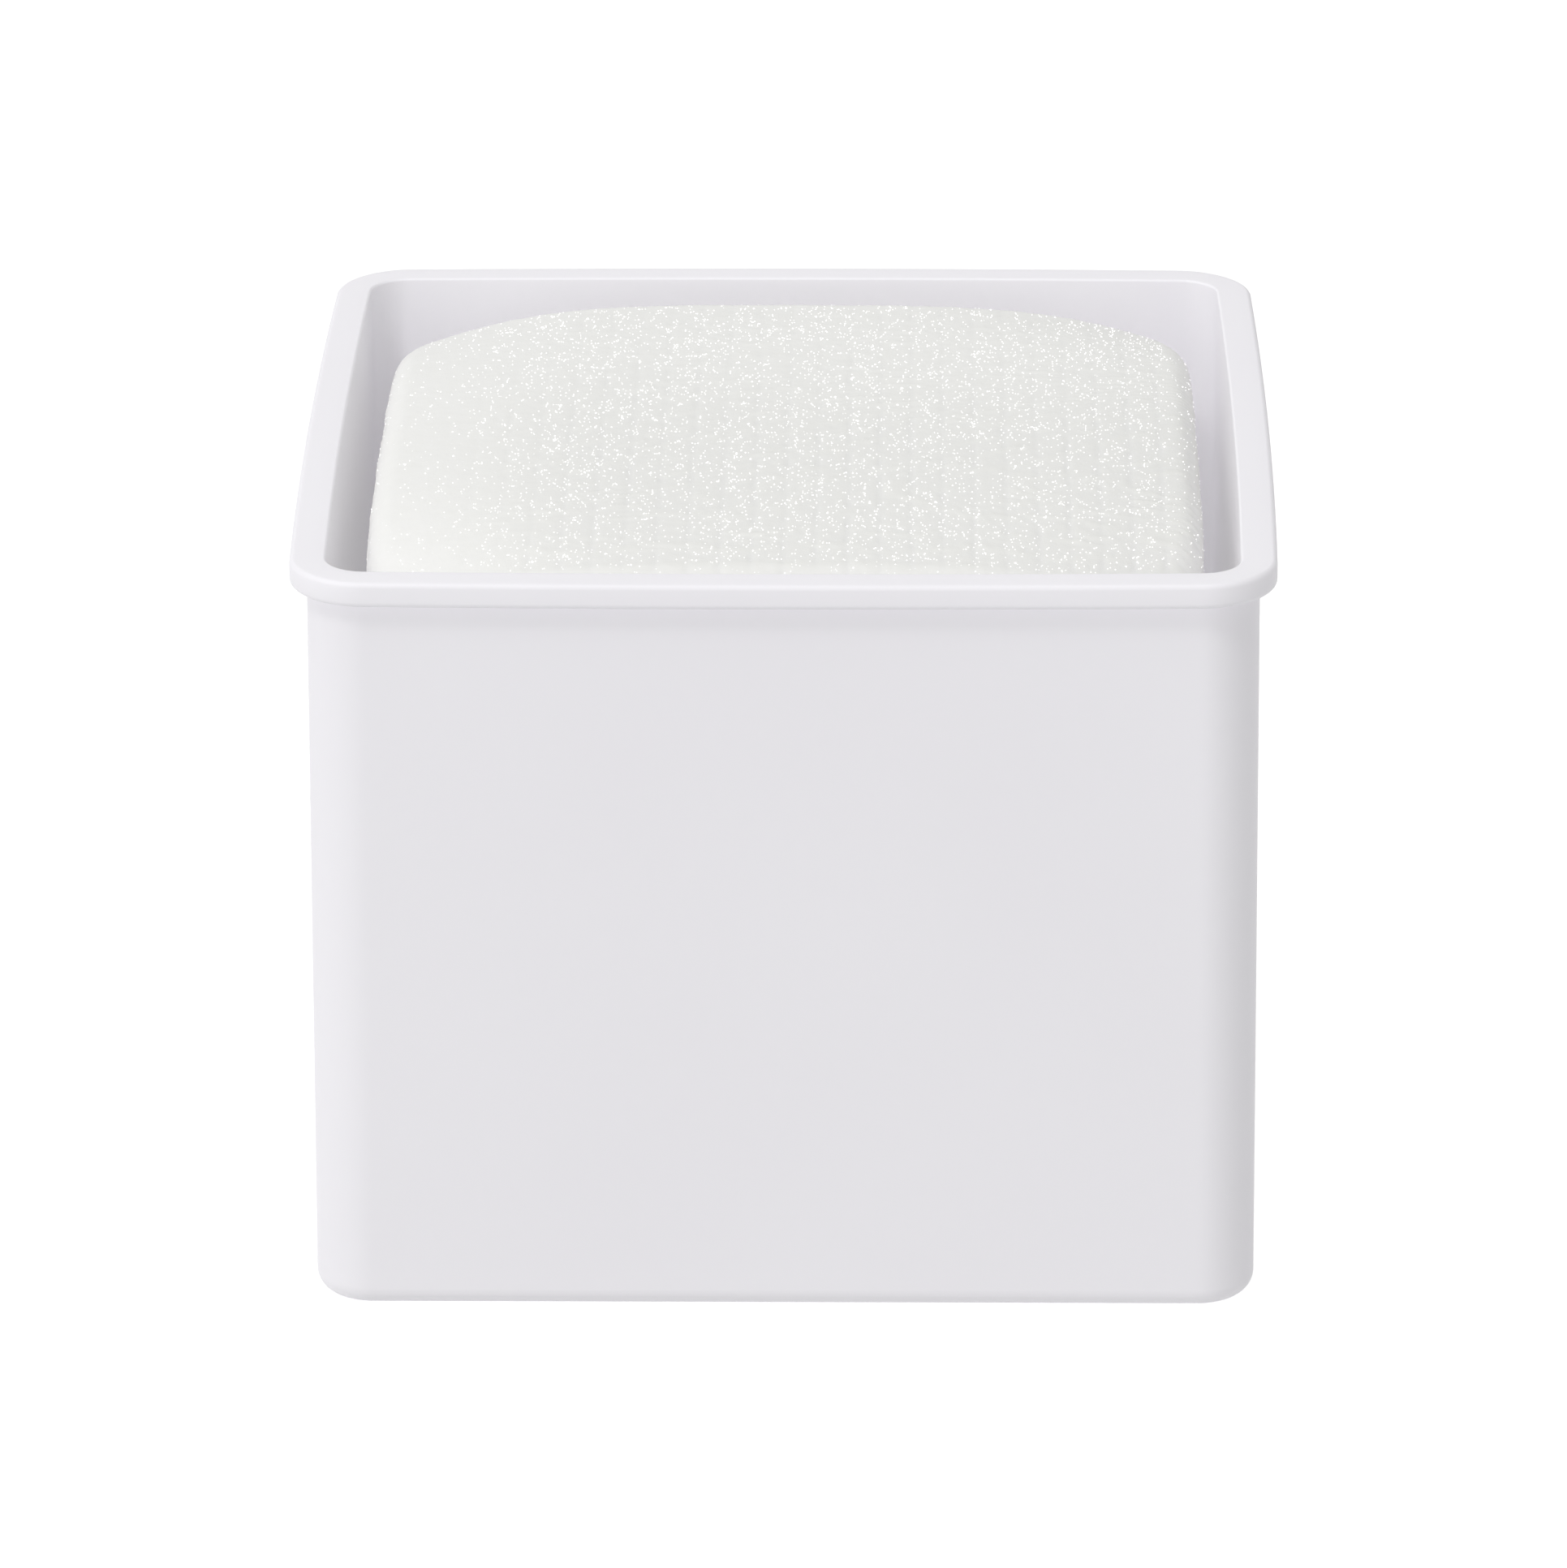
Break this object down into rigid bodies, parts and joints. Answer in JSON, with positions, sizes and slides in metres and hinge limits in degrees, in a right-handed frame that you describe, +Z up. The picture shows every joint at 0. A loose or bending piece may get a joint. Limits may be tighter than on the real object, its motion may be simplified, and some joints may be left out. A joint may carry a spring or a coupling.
{
  "type": "gymnastics chalk block",
  "caption": "Open square tub with a rounded rim flange, holding a loose domed cake of pressed chalk that lifts straight out.",
  "frame": {"origin": "centre of the tub's foot, on the surface it stands on", "axes": "+Z up, out of the tub's mouth and along the way the cake lifts; +X to the right; -Y out of the front wall"},
  "size_m": [0.064, 0.064, 0.051],
  "materials": {
    "tub_plastic": "satin",
    "pressed_chalk": "matte"
  },
  "bodies": {
    "tub": {"tub": "tub_plastic"},
    "block": {"chalk_block": "pressed_chalk"}
  },
  "joints": [
    {"name": "block_lift", "type": "slide", "parent": "tub", "child": "block", "axis": [0, 0, 1], "range_m": [0, 0.053]}
  ]
}
